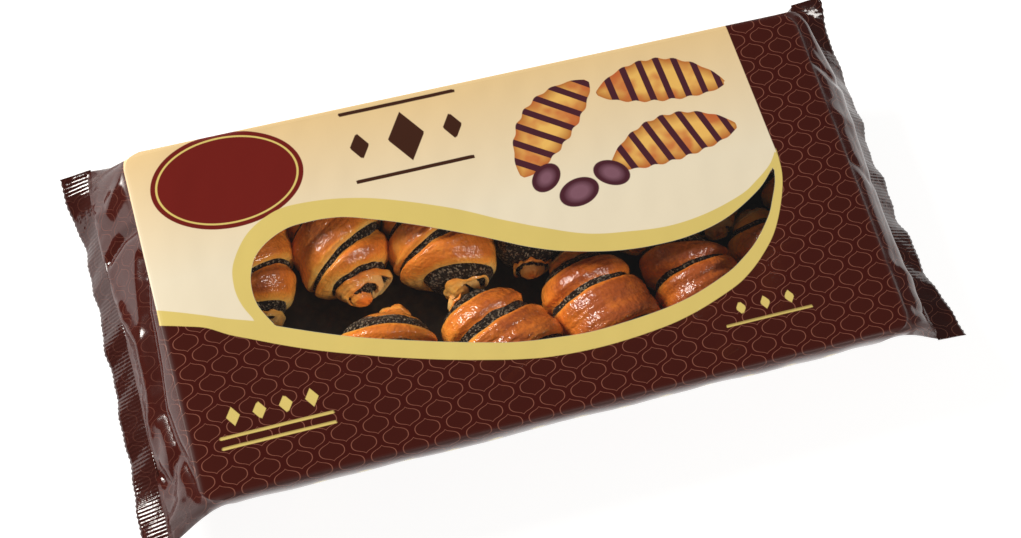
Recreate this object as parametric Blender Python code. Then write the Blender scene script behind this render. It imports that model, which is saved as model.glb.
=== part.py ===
# A sealed flow-wrap pack of small filled pastries: film drawn over a tray, crimped shut at both ends.
# X runs along the pack, Y from front to back, Z up. It lies on its flat base, centred over the origin.
import math

import bmesh
import bpy
from mathutils import Vector

# Body of the pack, in metres
RIM_LENGTH = 0.281  # the tray's rim under the film, end to end
RIM_WIDTH = 0.145
PACK_HEIGHT = 0.045
BASE_LENGTH = 0.258  # the tray is narrower at its base
BASE_WIDTH = 0.122
RIM_CORNER = 0.007  # corner radius of the rim, seen from above
BASE_CORNER = 0.014
RIM_BEND = 0.002  # radius of the film where it turns over the rim
BASE_BEND = 0.005
SIDE_BULGE = 0.0028  # how far the loose film stands out of the straight side
TOP_DIP = 0.0012  # the film falls this much towards the two ends
DIP_LENGTH = 0.018

# Crimped end seals
SEAL_STRIP = 0.0125
SEAL_THICKNESS = 0.0012
SEAL_SPAN = 0.156  # longer than the body is wide, which leaves an ear at each corner
TUCK_DEPTH = 0.007  # the side film folds in this far between a corner and an ear
FOLD_DEPTH = 0.0022  # the long fold across an end wall, and where it runs
FOLD_REACH = 0.060
FOLD_CENTRE = -0.008

# How each end's strip lies. slide moves it towards the back. Each place along it, from -1 at the front ear to 1
# at the back ear, gives how far its inner line is from the rim, that line's height, and how steeply the strip
# hangs from it, in degrees.
END_SHAPES = {
    -1: {
        "slide": 0.0,
        "wave": 0.0007,
        "period": 0.033,
        "phase": 0.6,
        "places": (
            (-1.00, 0.0134, 0.0195, 26),
            (-0.60, 0.0128, 0.0215, 35),
            (0.00, 0.0126, 0.0240, 42),
            (0.30, 0.0138, 0.0245, 50),
            (0.58, 0.0146, 0.0245, 58),
            (0.80, 0.0144, 0.0250, 44),
            (1.00, 0.0126, 0.0265, 14),
        ),
    },
    1: {
        "slide": 0.0030,
        "wave": 0.0009,
        "period": 0.029,
        "phase": 2.4,
        "places": (
            (-1.00, 0.0150, 0.0275, 8),
            (-0.62, 0.0120, 0.0250, 24),
            (-0.10, 0.0121, 0.0240, 41),
            (0.25, 0.0135, 0.0240, 48),
            (0.50, 0.0146, 0.0240, 48),
            (0.76, 0.0090, 0.0275, 32),
            (1.00, 0.0050, 0.0325, -6),
        ),
    },
}

# Facets
TOP_STEPS = 11
BEND_STEPS = 3
SIDE_STEPS = 7
CORNER_STEPS = 3
BASE_STEPS = 8
BODY_RINGS = 11
BEND_ANGLES = (26, 54, 82)
TUCK_POINTS = 11  # section points that fold in, below the ridge from corner to ear
WALL_RINGS = 7
STRIP_RINGS = 3

FILM_COLOUR = (0.075, 0.016, 0.010, 1.0)


def mix(a, b, t):
    return a + (b - a) * t


def clamp(value, low, high):
    return max(low, min(high, value))


def half_section():
    """Half of the body's section as (y, z): from the middle of the top, over the rim, to the middle of the base."""
    rim = RIM_WIDTH / 2
    base = BASE_WIDTH / 2
    points = []
    for i in range(TOP_STEPS):
        points.append(((rim - RIM_BEND) * math.sin(0.5 * math.pi * i / TOP_STEPS), PACK_HEIGHT))
    for i in range(BEND_STEPS + 1):
        turn = 0.5 * math.pi * i / BEND_STEPS
        points.append((rim - RIM_BEND * (1 - math.sin(turn)), PACK_HEIGHT - RIM_BEND * (1 - math.cos(turn))))
    for i in range(1, SIDE_STEPS):
        t = (i / SIDE_STEPS) ** 1.6  # closer together under the rim, where the ears part from the side
        swell = SIDE_BULGE * math.sin(math.pi * t ** 0.7)
        points.append((mix(rim, base, t) + swell, mix(PACK_HEIGHT - RIM_BEND, BASE_BEND, t)))
    for i in range(CORNER_STEPS + 1):
        turn = 0.5 * math.pi * i / CORNER_STEPS
        points.append((base - BASE_BEND * (1 - math.cos(turn)), BASE_BEND * (1 - math.sin(turn))))
    for i in range(1, BASE_STEPS + 1):
        points.append(((base - BASE_BEND) * (1 - i / BASE_STEPS), 0.0))
    return points


def corner_inset(y, level):
    """How far the rounded corner draws the end of the body back at this distance from the middle."""
    radius = mix(BASE_CORNER, RIM_CORNER, level)
    half_width = mix(BASE_WIDTH, RIM_WIDTH, level) / 2
    past = clamp(abs(y) - (half_width - radius), 0.0, radius)
    return radius - math.sqrt(radius * radius - past * past)


def body_half(side, back, reach, turn):
    """Half a ring of the body. reach runs from 0 in the middle to 1 at the end, where turn bends the film over."""
    half = []
    for y, z in SECTION:
        level = z / PACK_HEIGHT
        bend = mix(BASE_BEND, RIM_BEND, level)
        end = mix(BASE_LENGTH, RIM_LENGTH, level) / 2 - corner_inset(y, level) - bend
        x = end * reach + bend * math.sin(turn)
        drop = bend * (1 - math.cos(turn))
        over = clamp((z - (PACK_HEIGHT - RIM_BEND)) / RIM_BEND, 0.0, 1.0)
        under = clamp((BASE_BEND - z) / BASE_BEND, 0.0, 1.0)
        dip = TOP_DIP * clamp(1 - (end - x) / DIP_LENGTH, 0.0, 1.0) ** 2
        half.append(Vector((side * x, back * y, z - (drop + dip) * over + drop * under)))
    return half


def along_seal(places, along):
    """The numbers that places give for this share of the strip, on a smooth line through them."""
    along = clamp(along, places[0][0], places[-1][0])
    k = 1
    while k < len(places) - 1 and along > places[k][0]:
        k += 1
    a, b = places[k - 1], places[k]
    before, after = places[max(k - 2, 0)], places[min(k + 1, len(places) - 1)]
    span = b[0] - a[0]
    t = (along - a[0]) / span
    values = []
    for n in (1, 2, 3):
        slope_a = (b[n] - before[n]) / (b[0] - before[0]) * span
        slope_b = (after[n] - a[n]) / (after[0] - a[0]) * span
        rise = b[n] - a[n]
        values.append(a[n] + slope_a * t + (3 * rise - 2 * slope_a - slope_b) * t * t + (slope_a + slope_b - 2 * rise) * t ** 3)
    return values


def strip_point(side, y, out, layer):
    """A point of the crimped strip: out is 0 on its inner line and 1 on its cut edge, layer 1 above and -1 below."""
    shape = END_SHAPES[side]
    gap, height, fall = along_seal(shape["places"], y / (SEAL_SPAN / 2))
    fall = math.radians(fall)
    run = SEAL_STRIP * out
    lift = shape["wave"] * math.sin(2 * math.pi * y / shape["period"] + shape["phase"]) * out
    lift += 0.5 * SEAL_THICKNESS * layer
    x = RIM_LENGTH / 2 + gap + run * math.cos(fall) + lift * math.sin(fall)
    z = height - run * math.sin(fall) + lift * math.cos(fall)
    return Vector((side * x, y + shape["slide"], z))


def strip_half(side, back, out):
    """Half the section pressed flat into the strip: what is above the split lies on what is below it."""
    lengths = [0.0]
    for a, b in zip(SECTION[:SPLIT], SECTION[1:]):
        lengths.append(lengths[-1] + math.dist(a, b))
    shares = [run / lengths[-1] for run in lengths]
    shares += shares[-2::-1]
    half = []
    for i, share in enumerate(shares):
        layer = (i < SPLIT) - (i > SPLIT)
        half.append(strip_point(side, back * share * SEAL_SPAN / 2, out, layer))
    return half


def wall_half(side, back, t):
    """Half a ring of the end wall: t is 0 at the bend over the rim and 1 at the strip."""
    rim = body_half(side, back, 1.0, math.radians(BEND_ANGLES[-1]))
    strip = strip_half(side, back, 0.0)
    half = []
    for i, (a, b) in enumerate(zip(rim, strip)):
        point = a.lerp(b, t)
        below = clamp((i - SPLIT + 1) / TUCK_POINTS, 0.0, 1.0)
        point.y -= back * TUCK_DEPTH * math.sin(math.pi * t) * (1 - t) ** 0.5 * math.sin(math.pi * below)
        if i < TOP_STEPS:
            middle = clamp((FOLD_REACH - abs(point.y - FOLD_CENTRE)) / 0.018, 0.0, 1.0)
            depth = FOLD_DEPTH * middle * math.exp(-((t - 0.36) / 0.13) ** 2)
            point -= Vector((side * depth, 0.0, depth))
        half.append(point)
    return half


def whole_ring(half_ring, *place):
    """Both halves of a ring, from the middle of the top round the back, the base and the front."""
    back_half = half_ring(place[0], 1, *place[1:])
    front_half = half_ring(place[0], -1, *place[1:])
    return back_half + front_half[-2:0:-1]


def end_rings(side):
    """The rings of one end, from the bend over the rim out to the strip's cut edge."""
    rings = [whole_ring(body_half, side, 1.0, math.radians(angle)) for angle in BEND_ANGLES]
    rings += [whole_ring(wall_half, side, i / WALL_RINGS) for i in range(1, WALL_RINGS)]
    rings += [whole_ring(strip_half, side, i / STRIP_RINGS) for i in range(STRIP_RINGS + 1)]
    return rings


def close_strip(mesh, ring):
    """Joins the strip's two layers along its cut edge."""
    half = len(ring) // 2
    above = [ring[i] for i in range(-SPLIT, SPLIT + 1)]
    below = [ring[i] for i in range(2 * half - SPLIT, SPLIT - 1, -1)]
    for i in range(2 * SPLIT):
        corners = [above[i], above[i + 1], below[i + 1], below[i]]
        mesh.faces.new(list(dict.fromkeys(corners)))


def build_pack():
    """The closed surface of the whole pack, with the middle of its box over the origin."""
    rings = end_rings(-1)[::-1]
    for i in range(-BODY_RINGS, BODY_RINGS + 1):
        rings.append(whole_ring(body_half, 1 if i >= 0 else -1, abs(i) / BODY_RINGS, 0.0))
    rings += end_rings(1)

    mesh = bmesh.new()
    grid = [[mesh.verts.new(point) for point in ring] for ring in rings]
    around = len(grid[0])
    for a, b in zip(grid, grid[1:]):
        for i in range(around):
            mesh.faces.new((a[i], b[i], b[(i + 1) % around], a[(i + 1) % around]))
    close_strip(mesh, grid[0])
    close_strip(mesh, grid[-1])
    bmesh.ops.recalc_face_normals(mesh, faces=mesh.faces)
    for axis in (0, 1):
        places = [vert.co[axis] for vert in mesh.verts]
        middle = (min(places) + max(places)) / 2
        for vert in mesh.verts:
            vert.co[axis] -= middle
    return mesh


SECTION = half_section()
SPLIT = len(SECTION) // 2

for old in list(bpy.data.objects):
    bpy.data.objects.remove(old, do_unlink=True)

film = bpy.data.materials.new("printed film")
film.use_nodes = True
shader = film.node_tree.nodes["Principled BSDF"]
shader.inputs["Base Color"].default_value = FILM_COLOUR
shader.inputs["Roughness"].default_value = 0.22
shader.inputs["Metallic"].default_value = 0.0

pack_mesh = bpy.data.meshes.new("pack")
shape = build_pack()
shape.to_mesh(pack_mesh)
shape.free()
pack_mesh.materials.append(film)
pack_mesh.shade_smooth()
pack_mesh.set_sharp_from_angle(angle=math.radians(40))
pack = bpy.data.objects.new("pack", pack_mesh)
bpy.context.collection.objects.link(pack)
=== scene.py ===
# Sealed flow-wrap pack of chocolate rugelach: printed film drawn over a black tray, with a clear window in the print.
# Shapes are worked out in millimetres and turned to metres when a mesh is made.
import math
import bmesh
import bpy
import numpy as np
from mathutils import Matrix, Vector


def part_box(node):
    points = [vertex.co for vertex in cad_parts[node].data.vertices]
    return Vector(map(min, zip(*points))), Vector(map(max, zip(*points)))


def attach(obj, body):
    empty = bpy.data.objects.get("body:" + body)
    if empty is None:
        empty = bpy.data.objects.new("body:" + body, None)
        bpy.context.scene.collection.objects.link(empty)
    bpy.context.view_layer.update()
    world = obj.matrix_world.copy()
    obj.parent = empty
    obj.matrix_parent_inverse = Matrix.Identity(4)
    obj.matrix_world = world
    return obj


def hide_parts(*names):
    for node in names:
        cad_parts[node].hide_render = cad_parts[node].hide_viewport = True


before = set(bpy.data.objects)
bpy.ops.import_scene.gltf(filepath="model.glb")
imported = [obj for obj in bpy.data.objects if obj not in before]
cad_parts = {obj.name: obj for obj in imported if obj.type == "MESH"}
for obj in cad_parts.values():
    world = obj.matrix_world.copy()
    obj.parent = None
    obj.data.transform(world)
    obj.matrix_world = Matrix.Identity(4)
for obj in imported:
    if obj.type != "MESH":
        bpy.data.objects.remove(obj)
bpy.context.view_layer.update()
partLow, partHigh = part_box("pack")
print("frame loaded, mm:", [round(v * 1000, 1) for v in partHigh - partLow])


def mix(a, b, t):
    return a + (b - a) * t


def smooth(value, low, high):
    # 0 below low, 1 above high, and a soft step between
    t = np.clip((np.asarray(value, float) - low) / (high - low), 0, 1)
    return t * t * (3 - 2 * t)


def linear(hexColour):
    # sRGB hex to the linear values that shaders work in
    values = [int(hexColour[i:i + 2], 16) / 255 for i in (1, 3, 5)]
    return tuple(v / 12.92 if v < 0.04045 else ((v + 0.055) / 1.055) ** 2.4 for v in values) + (1.0,)


def waves(x, y, length, seed, count=5):
    # soft uneven waves of about this length, from -1 to 1, the same on every run
    rng = np.random.default_rng(seed)
    total = 0.0
    for k in range(count):
        angle, size, start = rng.uniform(0, math.pi), rng.uniform(0.6, 1.6), rng.uniform(0, 2 * math.pi)
        total = total + np.sin(2 * math.pi * (x * math.cos(angle) + y * math.sin(angle)) * size / length + start)
    return total / count * 1.6


def zigzag(x):
    # straight-sided waves from -1 to 1: stiff film bends in flats and sharp ridges
    return 4 * np.abs(x - np.floor(x + 0.5)) - 1


def addNode(tree, kind, inputs=(), **settings):
    # a node with its settings; each input is a value, or a node or socket to link
    node = tree.nodes.new("ShaderNode" + kind)
    for name, value in settings.items():
        setattr(node, name, value)
    for key, value in (inputs.items() if isinstance(inputs, dict) else enumerate(inputs)):
        if isinstance(value, bpy.types.Node):
            value = value.outputs[0]
        if isinstance(value, bpy.types.NodeSocket):
            tree.links.new(value, node.inputs[key])
        elif value is not None:
            node.inputs[key].default_value = value
    return node


def newMaterial(name):
    material = bpy.data.materials.new(name)
    material.use_nodes = True
    return material, material.node_tree, material.node_tree.nodes["Principled BSDF"]


def gridFaces(rows, columns):
    # quads between rings of points, the last column joined to the first
    a = np.arange(rows - 1)[:, None] * columns
    b = np.arange(columns)[None, :]
    c = (b + 1) % columns
    return np.stack([a + b, a + c, a + columns + c, a + columns + b], -1).reshape(-1, 4)


def makePiece(name, points, faces, material, attributes=None, flip=False):
    # points in mm; an attribute is one number or three for each point
    mesh = bpy.data.meshes.new(name)
    faces = np.asarray(faces)
    if flip:
        faces = faces[:, ::-1]
    mesh.from_pydata((np.asarray(points) / 1000).tolist(), [], faces.tolist())
    for key, values in (attributes or {}).items():
        values = np.asarray(values, np.float32)
        if values.ndim == 1:
            mesh.attributes.new(key, "FLOAT", "POINT").data.foreach_set("value", values)
        else:
            mesh.attributes.new(key, "FLOAT_VECTOR", "POINT").data.foreach_set("vector", values.ravel())
    mesh.materials.append(material)
    mesh.validate()
    mesh.shade_smooth()
    piece = bpy.data.objects.new(name, mesh)
    bpy.context.collection.objects.link(piece)
    return piece


def closeRings(piece, rings):
    # one face over each ring of points, given by their numbers
    shape = bmesh.new()
    shape.from_mesh(piece.data)
    shape.verts.ensure_lookup_table()
    for ring in rings:
        shape.faces.new([shape.verts[i] for i in ring])
    shape.to_mesh(piece.data)
    shape.free()
    piece.data.shade_smooth()


# The closed film's shape, as in the part, in mm
pack = {
    "rimLength": 281.0, "rimWidth": 145.0, "height": 45.0,
    "baseLength": 258.0, "baseWidth": 122.0,
    "rimCorner": 7.0, "baseCorner": 14.0,
    "rimBend": 0.9, "baseBend": 5.0,       # thin film lies tighter over the rim than the solid does
    "sideBulge": 2.8, "topDip": 1.2, "dipLength": 18.0,
    "sealStrip": 12.5, "sealSpan": 156.0,
    "tuckDepth": 7.0, "tuckPoints": 11,
    "split": 16,        # section number on the ridge from tray corner to ear
    "shift": np.array([-1.05, -1.5, 0.0]),      # from the body's middle to the middle of the whole box
    "printShift": 1.7,  # the print's long axis lies in front of the body's by this much
}
topEnd, rimEnd, sideEnd, cornerEnd, baseEnd = 11, 14, 21, 24, 32    # section numbers, from the top's middle down
# Places along each end's strip, from the front ear (-1) to the back one (1): how far its inner line is from the rim,
# how high that line is, and how steeply the strip hangs from it in degrees
ends = {
    -1: {"slide": 0.0, "wave": 0.7, "period": 33.0, "phase": 0.6, "places": [
        (-1.00, 13.4, 19.5, 26), (-0.60, 12.8, 21.5, 35), (0.00, 12.6, 24.0, 42), (0.30, 13.8, 24.5, 50),
        (0.58, 14.6, 24.5, 58), (0.80, 14.4, 25.0, 44), (1.00, 12.6, 26.5, 14)]},
    1: {"slide": 3.0, "wave": 0.9, "period": 29.0, "phase": 2.4, "places": [
        (-1.00, 15.0, 27.5, 8), (-0.62, 12.0, 25.0, 24), (-0.10, 12.1, 24.0, 41), (0.25, 13.5, 24.0, 48),
        (0.50, 14.6, 24.0, 48), (0.76, 9.0, 27.5, 32), (1.00, 5.0, 32.5, -6)]},
}


def sectionAt(i):
    # half of the section, from 0 in the middle of the top to baseEnd in the middle of the base
    rim, base, height = pack["rimWidth"] / 2, pack["baseWidth"] / 2, pack["height"]
    rimBend, baseBend = pack["rimBend"], pack["baseBend"]
    over = 0.5 * math.pi * np.clip((i - topEnd) / (rimEnd - topEnd), 0, 1)
    under = 0.5 * math.pi * np.clip((i - sideEnd) / (cornerEnd - sideEnd), 0, 1)
    t = np.clip((i - rimEnd) / (sideEnd - rimEnd), 0, 1) ** 1.6
    top = (rim - rimBend) * np.sin(0.5 * math.pi * np.clip(i / topEnd, 0, 1))
    side = mix(rim, base, t) + pack["sideBulge"] * np.sin(math.pi * t ** 0.7)
    y = np.select([i < topEnd, i < rimEnd, i < sideEnd, i < cornerEnd],
                  [top, rim - rimBend * (1 - np.sin(over)), side, base - baseBend * (1 - np.cos(under))],
                  (base - baseBend) * (1 - (i - cornerEnd) / (baseEnd - cornerEnd)))
    z = np.select([i < rimEnd, i < sideEnd, i < cornerEnd],
                  [height - rimBend * (1 - np.cos(over)), mix(height - rimBend, baseBend, t),
                   baseBend * (1 - np.sin(under))], 0.0)
    return y, z


def bodyPoint(i, side, back, reach, turn):
    y, z = sectionAt(i)
    level = z / pack["height"]
    radius = mix(pack["baseCorner"], pack["rimCorner"], level)
    past = np.clip(y - (mix(pack["baseWidth"], pack["rimWidth"], level) / 2 - radius), 0, radius)
    inset = radius - np.sqrt(radius ** 2 - past ** 2)
    bend = mix(pack["baseBend"], pack["rimBend"], level)
    end = mix(pack["baseLength"], pack["rimLength"], level) / 2 - inset - bend
    x = end * reach + bend * np.sin(turn)
    drop = bend * (1 - np.cos(turn))
    over = np.clip((z - (pack["height"] - pack["rimBend"])) / pack["rimBend"], 0, 1)
    under = np.clip((pack["baseBend"] - z) / pack["baseBend"], 0, 1)
    dip = pack["topDip"] * np.clip(1 - (end - x) / pack["dipLength"], 0, 1) ** 2
    return np.stack([side * x, back * y, z - (drop + dip) * over + drop * under], -1)


def alongSeal(places, along):
    # the numbers that places give for each share of the strip, on a smooth line through them
    table = np.array(places, float)
    along = np.clip(along, table[0, 0], table[-1, 0])
    k = np.clip(np.searchsorted(table[:, 0], along, side="left"), 1, len(table) - 1)
    a, b = table[k - 1], table[k]
    before, after = table[np.maximum(k - 2, 0)], table[np.minimum(k + 1, len(table) - 1)]
    span = (b[..., :1] - a[..., :1])
    t = (along[..., None] - a[..., :1]) / span
    slopeA = (b - before) / (b[..., :1] - before[..., :1]) * span
    slopeB = (after - a) / (after[..., :1] - a[..., :1]) * span
    rise = b - a
    values = a + slopeA * t + (3 * rise - 2 * slopeA - slopeB) * t ** 2 + (slopeA + slopeB - 2 * rise) * t ** 3
    return values[..., 1], values[..., 2], np.radians(values[..., 3])


def stripPoint(side, y, out, offset):
    # a point of the crimped strip: out is 0 on its inner line and 1 on its cut edge, offset stands off its face
    shape = ends[side]
    gap, height, fall = alongSeal(shape["places"], y / (pack["sealSpan"] / 2))
    reach = pack["sealStrip"] * out
    lift = shape["wave"] * np.sin(2 * math.pi * y / shape["period"] + shape["phase"]) * out + offset
    x = pack["rimLength"] / 2 + gap + reach * np.cos(fall) + lift * np.sin(fall)
    z = height - reach * np.sin(fall) + lift * np.cos(fall)
    return np.stack([side * x, y + shape["slide"] + 0 * x, z], -1)


# The film's mesh: rings along the pack and points round each ring
filmMesh = {
    "topStep": 1.0, "bendStep": 0.8, "sideStep": 1.5, "baseStep": 5.0,   # mm between points round the pack
    "ringStep": 1.03,                                                    # mm between rings along it
    "bendAngles": (12, 24, 36, 48, 60, 72, 82),
    "wallRings": 27, "wallHeight": 24.0,
    "wallSwell": {-1: 0.3, 1: 3.6},     # mm that slack film stands out of each straight end wall
    "creased": {-1: 1.0, 1: 0.4},       # how strongly each end wall is creased
    # small creases: depth, slant along and down the wall, pitch, start, and which way they are bent
    "creases": [(0.55, 0.97, 0.24, 47.0, 0.3, 1), (0.22, 0.70, -0.71, 29.0, 0.1, -1)],
    "warp": 5.0, "gather": 0.16, "gatherPitch": 6.1,
    "ripple": 0.35, "sideCrease": 0.25, "topWave": 0.22, "topRipple": 0.05,
    "lift": 0.35,       # the fin seal under the pack keeps the film off the table
}

dense = np.linspace(0, baseEnd, 6401)
denseY, denseZ = sectionAt(dense)
denseRun = np.concatenate([[0], np.cumsum(np.hypot(np.diff(denseY), np.diff(denseZ)))])
stepPlaces = [0, topEnd, topEnd + 0.3, rimEnd, rimEnd + 0.5, sideEnd, cornerEnd, cornerEnd + 0.6, baseEnd]
steps = [filmMesh[key] for key in ["topStep"] * 2 + ["bendStep"] * 2 + ["sideStep"] * 3 + ["baseStep"] * 2]
stepCount = np.concatenate([[0], np.cumsum(np.diff(denseRun) / np.interp(dense, stepPlaces, steps)[1:])])
halfIndex = np.interp(np.linspace(0, stepCount[-1], int(math.ceil(stepCount[-1])) + 1), stepCount, dense)
ringIndex = np.concatenate([halfIndex, halfIndex[-2:0:-1]])
ringBack = np.concatenate([np.ones(len(halfIndex)), -np.ones(len(halfIndex) - 2)])
unrolled = np.interp(ringIndex, dense, denseRun)
mirrored = np.where(ringIndex <= pack["split"], ringIndex, 2 * pack["split"] - ringIndex)
stripShare = np.interp(mirrored, dense, denseRun) / np.interp(pack["split"], dense, denseRun)


def stripRing(side, out, offset):
    # the section pressed flat: what is above the split lies on what is below it
    layer = np.clip(pack["split"] - ringIndex, -1, 1)
    return stripPoint(side, ringBack * stripShare * pack["sealSpan"] / 2, out, offset * layer)


def wallRing(side, t):
    rim = bodyPoint(ringIndex, side, ringBack, 1.0, math.radians(filmMesh["bendAngles"][-1]))
    ring = mix(rim, stripRing(side, 0.0, 0.6), t)
    below = np.clip((ringIndex - pack["split"] + 1) / pack["tuckPoints"], 0, 1)
    ring[:, 1] -= ringBack * pack["tuckDepth"] * math.sin(math.pi * t) * (1 - t) ** 0.5 * np.sin(math.pi * below)
    upper = smooth(pack["split"] - ringIndex, -1.0, 2.0) * math.sin(math.pi * t)
    ring[:, 0] += side * filmMesh["wallSwell"][side] * 0.75 * upper
    ring[:, 2] += filmMesh["wallSwell"][side] * 0.65 * upper
    return ring


def foldLine(y, t, places, depth, width):
    # a valley along a bent line of (y mm, share of the wall) places
    height = filmMesh["wallHeight"]
    best = np.full(y.shape, 1e9)
    for (y0, t0), (y1, t1) in zip(places, places[1:]):
        dy, dt = y1 - y0, (t1 - t0) * height
        k = np.clip(((y - y0) * dy + (t - t0) * height * dt) / (dy * dy + dt * dt), 0, 1)
        best = np.minimum(best, np.hypot(y - y0 - k * dy, (t - t0) * height - k * dt))
    return -depth * np.clip(1 - best / width, 0, 1) ** 1.3


# Bends of the stiff film on each end wall: places along the bend (y mm, share of the wall), depth and width in mm
wallFolds = {
    -1: [
        ([(29, 0.02), (8, 0.28), (-9, 0.38), (-31, 0.50), (-46, 0.34), (-67, 0.06)], 2.6, 5.5),
        ([(42, 0.0), (42, 0.45), (37, 1.0)], 1.9, 3.6),
        ([(62, 0.15), (55, 0.6), (58, 1.0)], -1.3, 6.0),
        ([(18, 1.0), (0, 0.66), (-22, 0.76), (-40, 1.0)], -1.6, 6.0),
        ([(-50, 0.45), (-58, 0.72), (-50, 1.0)], 2.0, 5.0),
        ([(-66, 0.5), (-72, 1.0)], -1.4, 5.0),
    ],
    1: [
        ([(64, 0.1), (48, 0.40), (20, 0.34), (2, 0.46), (-30, 0.38), (-62, 0.06)], 0.5, 6.5),
        ([(50, 0.02), (40, 0.55), (44, 1.0)], 1.0, 3.6),
        ([(27, 0.0), (20, 0.5), (28, 1.0)], -0.6, 6.0),
        ([(4, 0.02), (-6, 0.5), (-2, 1.0)], 0.6, 4.0),
        ([(-44, 0.1), (-50, 0.6), (-42, 1.0)], -0.8, 6.0),
        ([(-64, 0.3), (-66, 1.0)], 1.2, 5.0),
    ],
}


def wallRelief(side, y, t):
    relief = sum(foldLine(y, t, *fold) for fold in wallFolds[side])
    down = filmMesh["wallHeight"] * t
    warp = filmMesh["warp"] * waves(y, down, 60, 31 + side)
    inside = math.sin(math.pi * min(t * 1.1, 1)) ** 0.6 * filmMesh["creased"][side]
    for depth, slantY, slantDown, pitch, start, bent in filmMesh["creases"]:
        relief = relief + depth * inside * zigzag((slantY * (y + bent * warp) + slantDown * down) / pitch + start)
    gather = filmMesh["gather"] * smooth(t, 0.70, 0.98)       # fine gathers run into the crimped strip
    relief = relief + gather * np.sin(2 * math.pi * (y + 2.0 * np.sin(y / 9.0)) / filmMesh["gatherPitch"])
    return relief * (1 - 0.8 * smooth(t, 0.90, 1.0))


endRings = {}
for side in (-1, 1):
    group = [bodyPoint(ringIndex, side, ringBack, 1.0, math.radians(a)) for a in filmMesh["bendAngles"]]
    for k in range(1, filmMesh["wallRings"] + 1):
        t = k / filmMesh["wallRings"]
        ring = wallRing(side, t)
        upper = smooth(pack["split"] - ringIndex, -2.0, 1.0)
        relief = wallRelief(side, ring[:, 1], t)
        ring[:, 0] += side * relief * mix(0.7, 0.88, upper)
        ring[:, 2] += relief * mix(-0.5, 0.45, upper)
        group.append(ring)
    group.append(stripRing(side, 0.10, 0.2))
    endRings[side] = group

bodyCount = int(2 * (pack["rimLength"] / 2 - pack["rimBend"]) / filmMesh["ringStep"])
body = [bodyPoint(ringIndex, 1.0 if reach >= 0 else -1.0, ringBack, abs(reach), 0.0)
        for reach in np.linspace(-1, 1, bodyCount)]
grid = np.array(endRings[-1][::-1] + body + endRings[1])

# Places on the film in mm: along the pack, past the tray's rim down the wall, and round it from the middle of the top
topLine = grid[:, 0, :]
run = np.concatenate([[0], np.cumsum(np.linalg.norm(np.diff(topLine, axis=0), axis=1))])
run -= np.interp(0, topLine[:, 0], run)
endCount = len(endRings[1])
filmAlong = grid[:, :, 0].copy()
for first, last, side in ((0, endCount, -1), (len(grid) - endCount, len(grid), 1)):
    rimRing = last if side < 0 else first - 1
    filmAlong[first:last] = grid[rimRing, :, 0] + (run[first:last] - run[rimRing])[:, None]
filmAcross = np.repeat((ringBack * unrolled)[None, :], grid.shape[0], 0)

# Slack in the film over the tray: the side film ripples, the top is nearly flat
sideShare = np.clip((ringIndex - rimEnd) / 8, 0, 1)
sideSwell = np.sin(math.pi * sideShare)[None, :] * smooth(145 - np.abs(grid[:, :, 0]), 0, 25)
ripple = (filmMesh["ripple"] * waves(filmAlong, filmAcross * 0.35, 34, 5)
          + filmMesh["sideCrease"] * zigzag(filmAlong / 61.0 + filmAcross / 90.0))
grid[:, :, 1] += ringBack[None, :] * sideSwell * ripple
onTop = smooth(topEnd - ringIndex, 0, 2)[None, :] * smooth(138 - np.abs(grid[:, :, 0]), 0, 12)
grid[:, :, 2] += onTop * (filmMesh["topWave"] * waves(filmAlong, filmAcross, 70, 8)
                          + filmMesh["topRipple"] * waves(filmAlong, filmAcross, 18, 9))
grid[:, :, 2] += filmMesh["lift"] * np.exp(-grid[:, :, 2] / 1.5)
grid += pack["shift"]
print("film rings", grid.shape)


# The print's fields of colour, in mm on the film. Each outline is a list of smooth runs that meet in sharp corners
windowOutline = [
    [(-98.5, -9.7), (-103, 0), (-103.5, 9), (-101, 17), (-97, 22), (-91, 26), (-84, 28.5), (-76, 29), (-68, 28.6),
     (-60, 27), (-44, 21), (-28, 14), (-12, 6.4), (4, -1.9), (18, -7.2), (36, -11.5), (52, -13.1), (68, -12.5),
     (84, -8.6), (100, -0.1), (109.5, 8.5)],
    [(109.5, 8.5), (107.5, 1.5), (104, -5.5), (100, -12.2), (92, -21), (84, -27), (76, -31.4), (60, -37),
     (44, -39.9), (20, -41.5), (4, -40.5), (-12, -38.5), (-28, -34.6), (-44, -30), (-68, -22.4), (-84, -16.1),
     (-98.5, -9.7)],
]
goldOutline = [
    [(-141, 1.5), (-132, -1.4), (-124, -4.2), (-116, -9.1), (-108, -13), (-92, -20.5), (-76, -26.9), (-52, -35.1),
     (-28, -42), (-4, -47.1), (20, -48.5), (44, -46.8), (60, -43.6), (76, -38.1), (84, -34), (92, -27.8),
     (100, -19.4), (107, -7.5), (111.5, 4), (113, 16)],
    [(113, 16), (108, 9.4), (100, 3.6), (92, -0.7), (76, -5.1), (60, -6.6), (44, -5), (28, -2), (12, 4.5),
     (-4, 12.4), (-20, 21), (-44, 30.9), (-60, 35.4), (-76, 37.3), (-88, 36.4), (-100, 30), (-108, 19.2),
     (-110, 10), (-109, 2), (-105.5, -6)],
    [(-105.5, -6), (-116, -2.3), (-124, 1.1), (-132, 4.4), (-141, 8)],
]
creamOutline = [
    [(-140.5, 4), (-128, 0), (-103.5, -8.5)],
    [(-103.5, -8.5), (-106.5, 8), (-103, 20), (-96, 28), (-80, 33), (-62, 31)],
    [(-62, 31), (-33, 20), (9, 1), (45, -9), (82, -6.5), (104, 3), (112.5, 14)],
    [(112.5, 14), (110.5, 74), (109.5, 113)], [(109.5, 113), (-140.5, 113)], [(-140.5, 113), (-140.5, 4)],
]


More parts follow.
